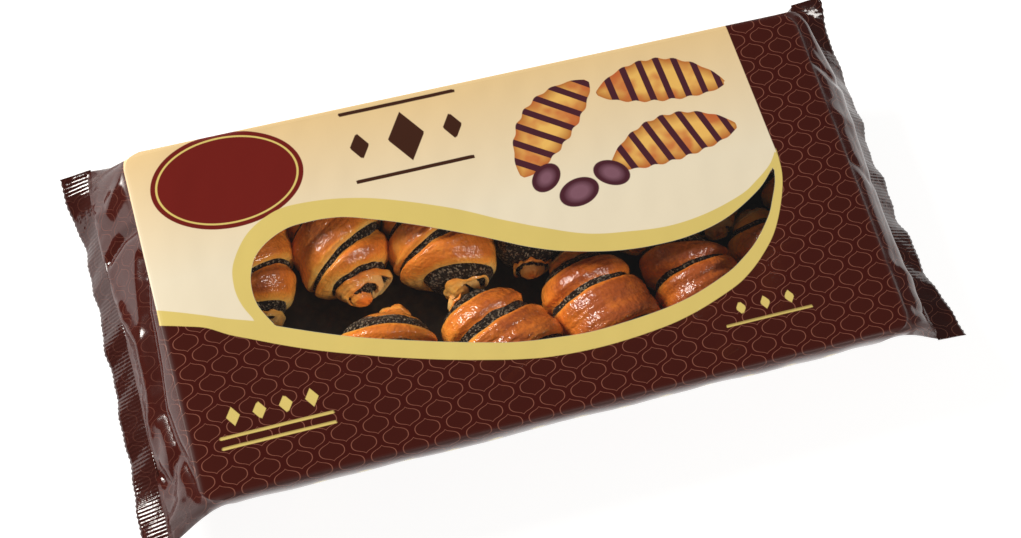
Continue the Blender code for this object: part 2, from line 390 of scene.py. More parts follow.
def smoothLine(points, steps=14):
    # Catmull-Rom curve through the points
    p = np.array(points, float)
    if len(p) == 2:
        return p[:-1]
    p = np.vstack([2 * p[0] - p[1], p, 2 * p[-1] - p[-2]])
    line = []
    for a, b, c, d in zip(p, p[1:], p[2:], p[3:]):
        for t in np.arange(steps) / steps:
            bend = (2 * a - 5 * b + 4 * c - d) * t ** 2 + (3 * b - a - 3 * c + d) * t ** 3
            line.append(0.5 * (2 * b + (c - a) * t + bend))
    return np.array(line)


def insideGap(x, y, outline):
    # signed distance in mm to the outline, above zero inside it
    corners = np.vstack([smoothLine(part) for part in outline])
    best, inside = np.full(x.shape, 1e9), np.zeros(x.shape, bool)
    for a, b in zip(corners, np.roll(corners, -1, axis=0)):
        edge = b - a
        if not edge.any():
            continue
        k = np.clip(((x - a[0]) * edge[0] + (y - a[1]) * edge[1]) / (edge @ edge), 0, 1)
        best = np.minimum(best, (x - a[0] - k * edge[0]) ** 2 + (y - a[1] - k * edge[1]) ** 2)
        if a[1] != b[1]:
            crosses = (a[1] > y) != (b[1] > y)
            inside ^= crosses & (x < a[0] + edge[0] * (y - a[1]) / edge[1])
    return np.where(inside, 1, -1) * np.sqrt(best)


# The plain oval, the ornament beside it and the drawn pastries on the cream field
ornaments = {
    "oval": {"middle": (-102.5, 54), "size": (30, 20.5)},
    "lozenges": [((-30, 56), 7.5, 11), ((-49, 56), 4, 6), ((-11, 56), 4, 6)]
    + [((x, -41), 2.6, 3.8) for x in (-122, -112, -102, -92)] + [((x, -46.5), 2.1, 3.0) for x in (77, 87, 97)]
    + [((x, -81), 4.2, 2.6) for x in range(-96, 110, 17)],
    "rules": [((-30, 71), 24, 0.8), ((-30, 41), 24, 0.8), ((-107, -48.5), 22, 0.6), ((-107, -52.5), 22, 0.6),
              ((87, -52.5), 18, 0.55)],
    "crescents": [((73, 29), 28, 10.0, 0.10), ((27, 47), 26, 10.5, 0.75), ((76, 55), 27, 9.5, -0.14)],
    "drops": [((30, 16), 8.5, 5.8, 0.25), ((45, 21), 7.5, 5.4, -0.5), ((19, 25), 7.0, 5.0, 0.7)],
    "stripePitch": 7.4,
}


def turned(x, y, middle, yaw):
    # places from a middle, along and across a shape that is turned by yaw
    dx, dy = x - middle[0], y - middle[1]
    return dx * math.cos(yaw) + dy * math.sin(yaw), -dx * math.sin(yaw) + dy * math.cos(yaw)


def printAttributes(x, y):
    # each point's signed distances to the print's outlines; far is outside
    far = -20.0
    near = (np.abs(x) < 148) & (np.abs(y) < 116)
    found = {key: np.full(x.shape, far) for key in ("window", "gold", "cream", "oval", "ornament", "drop")}
    picture = np.zeros(x.shape + (3,))
    picture[:, 0] = far
    px, py = x[near], y[near]
    for key, outline in (("window", windowOutline), ("gold", goldOutline), ("cream", creamOutline)):
        found[key][near] = insideGap(px, py, outline)
    (cx, cy), (a, b) = ornaments["oval"]["middle"], ornaments["oval"]["size"]
    share = np.hypot((px - cx) / a, (py - cy) / b)
    found["oval"][near] = (1 - share) * mix(b, a, np.clip(np.abs(px - cx) / a, 0, 1) ** 2)
    shapes = []
    for (cx, cy), a, b in ornaments["lozenges"]:
        shapes.append((1 - np.abs(px - cx) / a - np.abs(py - cy) / b) * a * b / math.hypot(a, b))
    for (cx, cy), a, b in ornaments["rules"]:
        shapes.append(np.minimum(a - np.abs(px - cx), b - np.abs(py - cy)))
    found["ornament"][near] = np.max(shapes, axis=0)
    best = picture[near]
    for middle, a, b, yaw in ornaments["crescents"]:
        p, q = turned(px, py, middle, yaw)
        q = q + 4.0 * (p / a) ** 2 - 1.5
        notched = 1 + 0.05 * np.cos(2 * math.pi * p / ornaments["stripePitch"])
        gap = b * np.clip(1 - (p / a) ** 2, 0, 1) ** 0.72 * notched - np.abs(q)
        gap = np.where(np.abs(p) > a, -5.0, gap)
        best = np.where((gap > best[:, 0])[:, None], np.stack([gap, p, q], -1), best)
    picture[near] = best
    blobs = []
    for middle, a, b, yaw in ornaments["drops"]:
        p, q = turned(px, py, middle, yaw)
        blobs.append((1 - np.hypot(p / a, q / b)) * b)
    found["drop"][near] = np.max(blobs, axis=0)
    found["picture"] = picture
    return found


# Printed film: stretched polypropylene (BOPP), gravure printed on the inside, so that the ink lies under a gloss
filmLook = {
    "cellInk": "#3E120A", "channelInk": "#3D0E07", "lineInk": "#97604F",
    # creamPaintedShade is painted shade: the tan the cream turns towards the back edge and over the bend at the back
    # rim
    "creamInk": "#E3D7BD", "creamPaintedShade": "#DDBB80", "goldInk": "#D3BD6D", "ovalInk": "#6A1A14", "darkInk": "#3D2014",
    "pastryInk": "#E2B25E", "pastryShade": "#B06A30", "pastryFlush": "#B9552F",
    "stripeInk": "#47202A", "beanSheen": "#7C5563",
    "cellPitch": (12.2, 12.3), "cellStart": (38.2, -57.1), "cellHalf": (4.75, 2.7),     # mm
    "cellTip": 1.1, "cellRound": 2.3, "linePrinted": 0.11, "lineSoft": 0.09,
    "lineStrength": (0.75, 0.25),       # on the flat top, and past the left rim
    "roughness": (0.12, 0.62),          # gloss, and dulled over the rim
    "inkEdge": (-0.15, 0.15),           # mm from an outline
    "inkCover": (0.985, 0.80),          # over the tray, and on the loose ears
    "filmIOR": 1.5,
}


def ink(name):
    return linear(filmLook[name])


def trellis(tree, place):
    # staggered rows of onion-shaped cells in thin outline; gives each point's distance from the nearest cell's line
    halfX, halfY = filmLook["cellHalf"]
    power = filmLook["cellRound"]
    parts = addNode(tree, "SeparateXYZ", [place])
    rounds = []
    for shift in (0.0, 0.5):
        local = []
        for axis in (0, 1):
            pitch, phase = filmLook["cellPitch"][axis], filmLook["cellStart"][axis]
            start = 0.5 - phase / pitch + shift + 40
            scaled = addNode(tree, "Math", [parts.outputs[axis], 1 / pitch, start], operation="MULTIPLY_ADD")
            share = addNode(tree, "Math", [scaled], operation="FRACT")
            centred = addNode(tree, "Math", [share, 0.5], operation="SUBTRACT")
            away = addNode(tree, "Math", [centred], operation="ABSOLUTE")
            local.append(addNode(tree, "Math", [away, pitch], operation="MULTIPLY"))
        tip = addNode(tree, "Math", [local[0], -1.0], operation="MULTIPLY")
        tip = addNode(tree, "Math", [math.e, tip], operation="POWER")
        reach = addNode(tree, "Math", [tip, filmLook["cellTip"], halfY], operation="MULTIPLY_ADD")
        shareX = addNode(tree, "Math", [local[0], 1 / halfX], operation="MULTIPLY")
        shareY = addNode(tree, "Math", [local[1], reach], operation="DIVIDE")
        powers = [addNode(tree, "Math", [share, power], operation="POWER") for share in (shareX, shareY)]
        total = addNode(tree, "Math", powers, operation="ADD")
        rounds.append(addNode(tree, "Math", [total, 1 / power], operation="POWER"))
    nearest = addNode(tree, "Math", rounds, operation="MINIMUM")
    outside = addNode(tree, "Math", [nearest, 1.0], operation="SUBTRACT")
    return addNode(tree, "Math", [outside, 3.6], operation="MULTIPLY")      # in mm, near enough


def brownPrint(tree, place):
    gap = trellis(tree, place)
    cell = addNode(tree, "MapRange", [gap, 0.2, -0.2])
    away = addNode(tree, "Math", [gap], operation="ABSOLUTE")
    width, soft = filmLook["linePrinted"], filmLook["lineSoft"]
    line = addNode(tree, "MapRange", [away, width + soft, width - soft])
    ground = addNode(tree, "MixRGB", [cell, ink("channelInk"), ink("cellInk")])
    # the pattern fades a little outside the pack's flat top on the left, where the film is folded hard
    along = addNode(tree, "SeparateXYZ", [place]).outputs[0]
    along = addNode(tree, "Math", [along, -1.0], operation="MULTIPLY")
    onTop = addNode(tree, "MapRange", [along, 140.0, 143.0, *filmLook["lineStrength"]])
    folded = addNode(tree, "MapRange", [along, 140.0, 143.0, 0.0, 0.5])
    ground = addNode(tree, "MixRGB", [folded, ground, ink("cellInk")])
    faint = addNode(tree, "Math", [line, onTop], operation="MULTIPLY")
    return addNode(tree, "MixRGB", [faint, ground, ink("lineInk")])


def printedFilm():
    material, tree, shader = newMaterial("BOPP film printed and clear")
    place = addNode(tree, "Attribute", attribute_name="film").outputs["Vector"]
    gaps = {key: addNode(tree, "Attribute", attribute_name=key).outputs["Fac"]
            for key in ("window", "gold", "cream", "oval", "ornament", "drop", "loose", "scuffed")}
    picture = addNode(tree, "Attribute", attribute_name="picture").outputs["Vector"]
    insidePastry, alongPastry, acrossPastry = addNode(tree, "SeparateXYZ", [picture]).outputs
    # 0 outside each outline and 1 inside, with the soft edge of a printed dot
    masks = {key: addNode(tree, "MapRange", [gap, *filmLook["inkEdge"]])
             for key, gap in {**gaps, "pastry": insidePastry}.items() if key not in ("loose", "scuffed")}
    across = addNode(tree, "SeparateXYZ", [place]).outputs[1]
    colour = brownPrint(tree, place)

    # cream field, darker and more golden towards the back edge as painted shade; small gold ornaments on the brown
    colour = addNode(tree, "MixRGB", [masks["ornament"], colour, ink("goldInk")])
    # painted shade: the cream darkens to tan from the middle of the top towards the back edge and over the back bend
    backShade = addNode(tree, "MapRange", [across, 18.0, 84.0])
    cream = addNode(tree, "MixRGB", [backShade, ink("creamInk"), ink("creamPaintedShade")])
    cream = addNode(tree, "MixRGB", [masks["ornament"], cream, ink("darkInk")])
    # drawn pastries: rounded shading, redder patches of about 11 mm, and dark stripes
    rounding = addNode(tree, "MapRange", [insidePastry, 0.0, 5.0])
    dough = addNode(tree, "MixRGB", [rounding, ink("pastryShade"), ink("pastryInk")])
    patches = addNode(tree, "TexNoise", {"Vector": place, "Scale": 1 / 11.0, "Detail": 2.0})
    flush = addNode(tree, "MapRange", [patches.outputs[0], 0.46, 0.66, 0.0, 0.75])
    dough = addNode(tree, "MixRGB", [flush, dough, ink("pastryFlush")])
    bent = addNode(tree, "Math", [acrossPastry, 0.22, alongPastry], operation="MULTIPLY_ADD")
    turn = addNode(tree, "Math", [bent, 2 * math.pi / ornaments["stripePitch"]], operation="MULTIPLY")
    stripe = addNode(tree, "MapRange", [addNode(tree, "Math", [turn], operation="SINE"), 0.30, 0.48])
    drawn = addNode(tree, "MixRGB", [stripe, dough, ink("stripeInk")])
    cream = addNode(tree, "MixRGB", [masks["pastry"], cream, drawn])
    # drawn cocoa beans, paler in the middle
    paler = addNode(tree, "MapRange", [gaps["drop"], 1.2, 3.4])
    bean = addNode(tree, "MixRGB", [paler, ink("stripeInk"), ink("beanSheen")])
    cream = addNode(tree, "MixRGB", [masks["drop"], cream, bean])
    # oval with a thin gold line inside its edge
    fromLine = addNode(tree, "Math", [gaps["oval"], 2.2], operation="SUBTRACT")
    ovalLine = addNode(tree, "MapRange", [addNode(tree, "Math", [fromLine], operation="ABSOLUTE"), 0.5, 0.25])
    ovalColour = addNode(tree, "MixRGB", [ovalLine, ink("ovalInk"), ink("goldInk")])
    cream = addNode(tree, "MixRGB", [masks["oval"], cream, ovalColour])

    window = masks["window"]
    for key, over in (("cream", cream), ("gold", ink("goldInk")), ("window", (1, 1, 1, 1))):
        colour = addNode(tree, "MixRGB", [masks[key], colour, over])
    tree.links.new(colour.outputs[0], shader.inputs["Base Color"])
    tree.links.new(window.outputs[0], shader.inputs["Metallic"])    # bare film shows only its reflection, by the alpha

    # light leaves the thin film as it enters it, so both of its sides reflect alike
    fromInside = addNode(tree, "NewGeometry").outputs["Backfacing"]
    filmIOR = addNode(tree, "MapRange", [fromInside, 0.0, 1.0, filmLook["filmIOR"], 1 / filmLook["filmIOR"]])
    mirror = addNode(tree, "Math", [addNode(tree, "Fresnel", {"IOR": filmIOR}), 1.1], operation="MULTIPLY")
    inked = addNode(tree, "MapRange", [gaps["loose"], 0.0, 1.0, *filmLook["inkCover"]])
    alpha = addNode(tree, "Mix", {0: window, 2: inked, 3: mirror})
    tree.links.new(alpha.outputs[0], shader.inputs["Alpha"])

    # thin film is never quite flat: long shallow waves about 9 mm apart
    noise = addNode(tree, "TexNoise", {"Vector": place, "Scale": 1 / 9.0, "Detail": 2.0})
    bump = addNode(tree, "Bump", {"Height": noise.outputs[0], "Strength": 0.10, "Distance": 0.001})
    tree.links.new(bump.outputs[0], shader.inputs["Normal"])
    dull = addNode(tree, "MapRange", [gaps["scuffed"], 0.0, 1.0, *filmLook["roughness"]])
    tree.links.new(dull.outputs[0], shader.inputs["Roughness"])
    shader.inputs["IOR"].default_value = filmLook["filmIOR"]
    return material


flatX, flatY = filmAlong.ravel(), (filmAcross + pack["printShift"]).ravel()
filmAttributes = printAttributes(flatX, flatY)
filmAttributes["film"] = np.stack([flatX, flatY, 0 * flatX], -1)
rimAway = np.minimum(np.abs(np.abs(flatX) - pack["rimLength"] / 2),
                     np.abs(np.abs(filmAcross.ravel()) - pack["rimWidth"] / 2))
filmAttributes["scuffed"] = np.exp(-(rimAway / 1.6) ** 2)     # the tight bend over the tray's rim dulls the gloss
filmAttributes["loose"] = (smooth(np.abs(grid[:, :, 0]), 139, 150) * smooth(np.abs(grid[:, :, 1]), 56, 72)).ravel()
filmFaces = gridFaces(*grid.shape[:2])
film = makePiece("film", grid.reshape(-1, 3), filmFaces, printedFilm(), filmAttributes, flip=True)
print("film faces", len(film.data.polygons))


# Crimped end seals: two layers of film welded between ribbed jaws (mm)
seal = {
    "rib": 1.5, "ribHeight": 0.07, "thickness": 0.5, "stepY": 0.25, "rows": 14,
    "zigzag": 0.25, "zigzagPitch": 2.2,     # the knife's teeth along the cut edge
    "buckle": 0.35, "bend": 0.40,           # how the strip waves, and how its free edge bends to and fro
    "roughness": 0.13, "twoLayers": "#1C0F0C",
}
fin = {"width": 14.0, "length": 244.0, "low": 0.03, "high": 0.33, "off": -3.0, "rib": 0.02, "columns": 200, "rows": 24}


def crimpedFilm():
    # the same print, darker where two layers lie together and dulled by the jaws
    material, tree, shader = newMaterial("BOPP film crimped")
    place = addNode(tree, "Attribute", attribute_name="film").outputs["Vector"]
    darker = addNode(tree, "MixRGB", [0.35, brownPrint(tree, place), linear(seal["twoLayers"])])
    tree.links.new(darker.outputs[0], shader.inputs["Base Color"])
    noise = addNode(tree, "TexNoise", {"Vector": place, "Scale": 1 / 2.5, "Detail": 3.0})
    bump = addNode(tree, "Bump", {"Height": noise.outputs[0], "Strength": 0.25, "Distance": 0.0006})
    tree.links.new(bump.outputs[0], shader.inputs["Normal"])
    shader.inputs["Roughness"].default_value = seal["roughness"]
    shader.inputs["IOR"].default_value = filmLook["filmIOR"]
    return material


def bandFaces(rows, columns):
    # faces of a flat band whose rows run over its top and back below, with both ends closed
    a = np.arange(rows)[:, None] * columns
    b = (np.arange(rows) + 1)[:, None] % rows * columns
    c = np.arange(columns - 1)[None, :]
    faces = np.stack([a + c, b + c, b + c + 1, a + c + 1], -1).reshape(-1, 4)
    caps = []
    for k in range(rows // 2 - 1):
        for column, order in ((0, 1), (columns - 1, -1)):
            caps.append([row * columns + column for row in (k, k + 1, rows - 2 - k, rows - 1 - k)][::-order])
    return np.vstack([faces, caps])


crimpMaterial = crimpedFilm()
seals = []
for side, name in ((-1, "sealLeft"), (1, "sealRight")):
    y = np.arange(-pack["sealSpan"] / 2, pack["sealSpan"] / 2 + 0.01, seal["stepY"])
    outs = np.linspace(-0.02, 1.0, seal["rows"])
    points = []
    for sign in (1, -1):
        for out in outs[::sign]:
            edge = seal["zigzag"] * zigzag(y / seal["zigzagPitch"]) / pack["sealStrip"] * smooth(out, 0.9, 1.0)
            inJaws = smooth(out, 0.0, 0.08)
            pressed = mix(0.25, 1.0, smooth(waves(y, out * 6.0, 46, 21 + side, 4), -0.3, 0.5))      # an uneven grip
            wavy = y + 0.25 * np.sin(y / 11.0)
            rib = pressed * seal["ribHeight"] * np.sin(2 * math.pi * wavy / seal["rib"]) * inJaws
            buckle = seal["buckle"] * waves(y, out * 12.5, 19, 12 + side)
            buckle = buckle + seal["bend"] * zigzag(y / 13.0 + 0.4 * out + 0.2 * side) * out
            points.append(stripPoint(side, y, out + edge, rib + buckle + sign * seal["thickness"] / 2))
    points = np.array(points) + pack["shift"]
    along = side * (run[-1] + pack["sealStrip"] * np.concatenate([outs, outs[::-1]]))
    onFilm = np.zeros(points.shape)
    onFilm[:, :, 0], onFilm[:, :, 1] = along[:, None], y[None, :]
    seals.append(makePiece(name, points.reshape(-1, 3), bandFaces(*points.shape[:2]), crimpMaterial,
                           {"film": onFilm.reshape(-1, 3)}, flip=side < 0))

# Fin seal: the film's two long edges are welded and folded flat along the underside
fx = np.linspace(-fin["length"] / 2, fin["length"] / 2, fin["columns"])
fy = np.linspace(fin["off"], fin["width"] + fin["off"], fin["rows"])
ribs = fin["rib"] * np.sin(2 * math.pi * fx / seal["rib"])
rows = [(yy, fin["high"] + ribs) for yy in fy] + [(yy, fin["low"] + 0 * fx) for yy in fy[::-1]]
finGrid = np.array([np.stack([fx, np.full(fx.shape, yy), zz], -1) + pack["shift"] for yy, zz in rows])
finSeal = makePiece("finSeal", finGrid.reshape(-1, 3), bandFaces(*finGrid.shape[:2]), crimpMaterial,
                     {"film": finGrid.reshape(-1, 3) * (1, 1, 0)}, flip=True)
print("seals made")


# Tray: black polypropylene sheet, vacuum formed, so its corners are round and its walls lean out (mm)
tray = {
    "flange": 5.0, "flangeHeight": 43.4, "clear": 1.4, "floorHeight": 2.4, "baseClear": 3.0, "sheet": 0.45,
    "corner": 7.5, "innerCorner": 5.0, "baseCorner": 15.0, "turn": 0.8, "floorBend": 3.0,
    "rib": 12.0, "ribDepth": 0.9, "wallRings": 13, "floorInsets": (8, 20, 34, 48),
    "longSteps": 170, "shortSteps": 84, "cornerSteps": 9,
    "colour": "#3A2D1D", "dust": "#54452E", "roughness": 0.38,
}


def roundedRing(halfX, halfY, radius, z, bulge=0.0):
    # points round a rounded rectangle, with the walls' ribs pushed out by bulge
    corners = [(1, 1, 0), (-1, 1, 90), (-1, -1, 180), (1, -1, 270)]
    ring = []

    def onCorner(n, degrees):
        turn = math.radians(degrees)
        x, y = corners[n % 4][0] * (halfX - radius), corners[n % 4][1] * (halfY - radius)
        return x + radius * math.cos(turn), y + radius * math.sin(turn)

    for n, (_, _, start) in enumerate(corners):
        for k in range(tray["cornerSteps"] + 1):
            ring.append(onCorner(n, start + 90 * k / tray["cornerSteps"]))
        steps = tray["longSteps"] if n % 2 == 0 else tray["shortSteps"]
        turn = math.radians(start + 90)
        a, b = ring[-1], onCorner(n + 1, start + 90)
        for k in range(1, steps):
            x, y = mix(a[0], b[0], k / steps), mix(a[1], b[1], k / steps)
            push = bulge * (0.5 + 0.5 * math.cos(2 * math.pi * (x if n % 2 == 0 else y) / tray["rib"]))
            ring.append((x + math.cos(turn) * push, y + math.sin(turn) * push))
    return [(x + pack["shift"][0], y + pack["shift"][1], z) for x, y in ring]


def formedSheet():
    # satin black polypropylene with about 1 mm grain and a dust of crumbs
    material, tree, shader = newMaterial("vacuum formed black PP")
    where = addNode(tree, "TexCoord").outputs["Object"]
    grain = addNode(tree, "TexNoise", {"Vector": where, "Scale": 900.0, "Detail": 2.0})
    bump = addNode(tree, "Bump", {"Height": grain.outputs[0], "Strength": 0.12, "Distance": 0.0004})
    tree.links.new(bump.outputs[0], shader.inputs["Normal"])
    crumbs = addNode(tree, "TexNoise", {"Vector": where, "Scale": 260.0, "Detail": 3.0})
    dusty = addNode(tree, "MapRange", [crumbs.outputs[0], 0.45, 0.8])
    colour = addNode(tree, "MixRGB", [dusty, linear(tray["colour"]), linear(tray["dust"])])
    tree.links.new(colour.outputs[0], shader.inputs["Base Color"])
    shader.inputs["Roughness"].default_value = tray["roughness"]
    shader.inputs["IOR"].default_value = 1.49
    return material


outerX, outerY = pack["rimLength"] / 2 - tray["clear"], pack["rimWidth"] / 2 - tray["clear"]
baseX, baseY = pack["baseLength"] / 2 - tray["baseClear"], pack["baseWidth"] / 2 - tray["baseClear"]
rimZ, floorZ = tray["flangeHeight"], tray["floorHeight"]
innerX, innerY = outerX - tray["flange"], outerY - tray["flange"]
innerCorner, baseCorner = tray["innerCorner"], tray["baseCorner"]
# the flange, from its turned-down edge inwards: inset, corner radius, height
flangeRings = [
    (0.0, tray["corner"], rimZ - 1.6), (0.0, tray["corner"], rimZ - 0.5), (0.5, tray["corner"] - 0.5, rimZ),
    (tray["flange"] - tray["turn"], innerCorner, rimZ), (tray["flange"], innerCorner, rimZ - tray["turn"]),
]
trayRings = [roundedRing(outerX - inset, outerY - inset, radius, z) for inset, radius, z in flangeRings]
for k in range(1, tray["wallRings"]):
    t = k / tray["wallRings"]
    lean = t * 0.96
    z = mix(rimZ - tray["turn"], floorZ + tray["floorBend"], t)
    ribs = -tray["ribDepth"] * math.sin(math.pi * min(t * 1.15, 1))
    trayRings.append(roundedRing(mix(innerX, baseX, lean), mix(innerY, baseY, lean),
                                 mix(innerCorner, baseCorner, lean), z, ribs))
for k in range(5):
    turn = 0.5 * math.pi * k / 4
    inset, z = tray["floorBend"] * math.sin(turn) ** 2, floorZ + tray["floorBend"] * (1 - math.sin(turn))
    trayRings.append(roundedRing(baseX - inset, baseY - inset, baseCorner - inset, z))
for inset in tray["floorInsets"]:
    trayRings.append(roundedRing(baseX - inset, baseY - inset, max(baseCorner - inset, 3.0), floorZ))
trayPoints = np.array(trayRings)
rings, around = trayPoints.shape[:2]
trayMesh = makePiece("tray", trayPoints.reshape(-1, 3), gridFaces(rings, around), formedSheet())
closeRings(trayMesh, [(rings - 1) * around + np.arange(around)])
sheet = trayMesh.modifiers.new("sheet", "SOLIDIFY")
sheet.thickness = tray["sheet"] / 1000
sheet.offset = 0.0
print("tray made")


# Rugelach: yeast dough rolled round chocolate, glazed with egg and baked
rugelachLook = {
    "around": 144, "step": 0.58, "capRings": 24,        # points round a piece, mm between its rows, rings on an end
    "radius": 18.4, "farEdges": (9, 20), "farHalf": 30.0, "lean": (-3, -1),
    "lip": 2.1, "lipRound": 1.3, "sunk": 2.0,           # mm from a band's edge down to the filling beside it
    "filling": (1.9, 3.2), "coil": 9.0,                 # widths of the filling that shows, first and last
    "wound": 6.4, "pocket": 3.4, "knobWidth": 4.8, "knobHeight": 1.6,      # dough and filling wound on the end
    "lumps": 0.026, "wrinkles": 0.15, "blisters": 0.10, "grains": 0.26,
    "droop": 3.0, "floor": 3.0, "middleHeight": 20.3,
    "crust": [(0.0, "#FFD880"), (0.20, "#FDC05C"), (0.42, "#FBA63E"), (0.66, "#EA8228"), (1.0, "#A64E17")],
    # the chocolate's second colour is for its pale grains, partly sugar and partly painted glints
    "crumb": ("#F5DC9C", "#DBA85A"), "chocolate": ("#261A0F", "#A6957C"),
    "blotch": 0.62, "streak": 0.14, "speck": 0.28, "paler": 0.52,       # how far noise darkens the bake
}


def rugelachMesh(piece, seed):
    look = rugelachLook
    rng = np.random.default_rng(seed)
    phi = np.linspace(0, 2 * math.pi, look["around"], endpoint=False)
    cosPhi, sinPhi = np.cos(phi), np.sin(phi)
    level = 0 * phi
    radius, coilSize = piece.get("radius", look["radius"]), look["coil"] * piece.get("coil", 1.0)
    endBake, crumb = piece.get("endBake", 0.6), piece.get("crumb", 1.0)
    lipRound, sunkBy = look["lipRound"], look["sunk"]

    def uneven(count=12):
        # an uneven but closed line round the piece, about -1 to 1
        start = rng.uniform(0, 2 * math.pi, count)
        return sum(np.sin((n + 1) * phi + start[n]) / (n + 2) for n in range(count)) * 0.9

    rows = []       # each row: place along the piece, radius, filling, baking, pale crumb
    for h in (1, -1):
        edges = piece["edges"] if h > 0 else piece.get("farEdges", look["farEdges"])
        half = piece["half"] if h > 0 else piece.get("farHalf", look["farHalf"])

        def envelope(q):
            share = np.clip(np.abs(q) / half, 0, 0.999)
            return np.maximum(radius * (1 - share ** 2.7) ** 0.44, coilSize)

        halfRows, start, sunk = [], level, 0.0
        for k, edge in enumerate(edges):
            lip = edge + 0.45 * uneven()
            count = max(6, int((edge - np.mean(start)) / look["step"]))
            swell = rng.uniform(0.5, 0.9)
            for n in range(count):
                q = mix(start, lip, n / count)
                toLip = np.clip(lipRound - (lip - q), 0, lipRound)
                r = envelope(q) + swell * math.sin(math.pi * n / count) - sunk * (1 - smooth(q - start, 0.0, 3.5))
                r = r - lipRound + np.sqrt(lipRound ** 2 - toLip ** 2)
                filling = 1 - smooth(q - start, 0.0, 0.7) if sunk else level
                bake = 1.0 - 0.50 * smooth(2.8 - (lip - q), 0, 2.8)        # paler towards the band's edges
                bake = bake - (0.35 * (1 - smooth(q - start, 0.0, 2.4)) if sunk else 0.0)
                halfRows.append((h * q, r, filling, bake, level))
            last = k == len(edges) - 1
            shown = piece.get("lastFilling" if last else "firstFilling", look["filling"][last])
            width = shown * (1 + 0.28 * uneven())
            top, foot = envelope(lip) - lipRound, envelope(lip) - look["lip"]
            for w in (0.3, 0.65, 1.0):      # the band's cut side goes down to the filling
                filling = level + smooth(w, 0.1, 0.7)
                halfRows.append((h * (lip + 0.15 * w), mix(top, foot, w), filling, level + 0.2, level))
            count = max(5, int(shown / look["step"]) + 1)
            for n in range(1, count + 1):
                w = n / count
                q = lip + 0.15 + width * w
                r = mix(foot, envelope(q) - sunkBy, w) + 0.35 * math.sin(math.pi * w)
                halfRows.append((h * q, r, level + 1.0, level + 0.3, level))
            start, sunk = lip + 0.15 + width, sunkBy
        # the inmost turns taper to a coil
        endQ = np.maximum(half, np.mean(start) + piece.get("stub", 3.0)) + 0.6 * uneven()
        count = max(6, int((np.mean(endQ) - np.mean(start)) / look["step"]) + 2)
        coil = coilSize * (1 + 0.08 * uneven())
        for n in range(1, count):
            w = n / count
            q = mix(start, endQ, w)
            r = mix(np.maximum(envelope(q) - sunkBy + 0.6 * w, coil), coil, w ** 2) - 1.6 * w ** 5
            filling = level + 1 - smooth(w, 0.04, 0.20)
            halfRows.append((h * q, r, filling, level + endBake - 0.25 * w, level + 0.35 * crumb * w ** 3))
        # dough and filling wound together show on the end, off its middle
        turnStart = piece.get("turnStart", rng.uniform(0, 2 * math.pi))
        offX, offY = piece.get("knob", (coilSize * rng.uniform(-0.30, 0.30), coilSize * rng.uniform(-0.25, 0.25)))
        dome = 2.6 * min(piece.get("coil", 1.0), 1.0)
        for n in range(look["capRings"]):
            rho = coil * (1 - (n + 0.5) / look["capRings"]) * 0.95
            share = rho / coil
            u, v = rho * cosPhi - offX, rho * sinPhi - offY
            away, turn = np.hypot(u, v), np.arctan2(v, u)
            wound = (away / look["wound"] + (turn * h + turnStart) / (2 * math.pi)) % 1.0
            pocket = smooth(0.5 - np.abs(wound - 0.5), 0.20, 0.29) * smooth(away, 3.4, 4.8)
            pocket = pocket * (1 - smooth(share, 0.80, 0.92))
            knob = np.exp(-(away / piece.get("knobWidth", look["knobWidth"])) ** 4)
            q = endQ + dome * (1 - share ** 2) + piece.get("knobHeight", look["knobHeight"]) * knob
            q = q - look["pocket"] * pocket - 1.0 * smooth(share, 0.75, 1.0)
            pale = crumb * (0.75 - 0.75 * knob - 0.4 * smooth(share, 0.85, 1.0))
            halfRows.append((h * q, rho, pocket, endBake - 0.35 + 0.35 * knob, pale))
        rows = halfRows if h > 0 else halfRows[:0:-1] + rows
    q, r, filling, bake, pale = (np.array([row[n] + level for row in rows]) for n in range(5))

    # lumps in the dough, wrinkles along its bands, grains in the filling and small blisters in the crust
    acrossA, acrossB = r * cosPhi[None, :], r * sinPhi[None, :]
    crust = (1 - filling) * (1 - 0.8 * pale)
    lumps = waves(q + 0.5 * acrossA, acrossB, 24, seed + 1)
    wrinkles = waves(q, 0.13 * (acrossA + 0.8 * acrossB), 3.4, seed + 4, 7)
    blisters = waves(q * 1.3, acrossA + 0.6 * acrossB, 5.5, seed + 5, 7)
    grains = waves(q, acrossA, 1.9, seed + 2, 9) + waves(acrossB, q, 2.3, seed + 3, 9)
    r = r * (1 + look["lumps"] * lumps) + crust * (look["wrinkles"] * wrinkles + look["blisters"] * blisters)
    r = r + filling * (1 - pale) * look["grains"] * grains

    half = np.where(q > 0, piece["half"], piece.get("farHalf", look["farHalf"]))
    share = np.clip(np.abs(q) / half, 0, 1)
    (edgeA, edgeB), (leanA, leanB) = piece["edges"], piece.get("lean", look["lean"])
    lean = np.interp(q, [-30, -18, edgeA, edgeB, piece["half"]], [0, leanA, leanA, leanB, 0])      # slanted bands
    axial = q + lean * cosPhi[None, :]
    wide = r * cosPhi[None, :] + piece.get("bend", 0.0) * share ** 2
    height = r * sinPhi[None, :] - look["droop"] * share ** 3 + look["middleHeight"]
    low = look["floor"]
    height = np.where(height < low + 3, low + 3 * np.exp((height - low - 3) / 3), height)     # it settles on the tray
    ax, ay = math.sin(piece["yaw"]), -math.cos(piece["yaw"])      # the end that shows points this way
    if piece.get("turned"):
        ax, ay = -ax, -ay
    cx, cy = piece["at"]
    y = cy - pack["printShift"] + axial * ay + wide * ax
    points = np.stack([cx + axial * ax - wide * ay, y, height], -1) + pack["shift"]
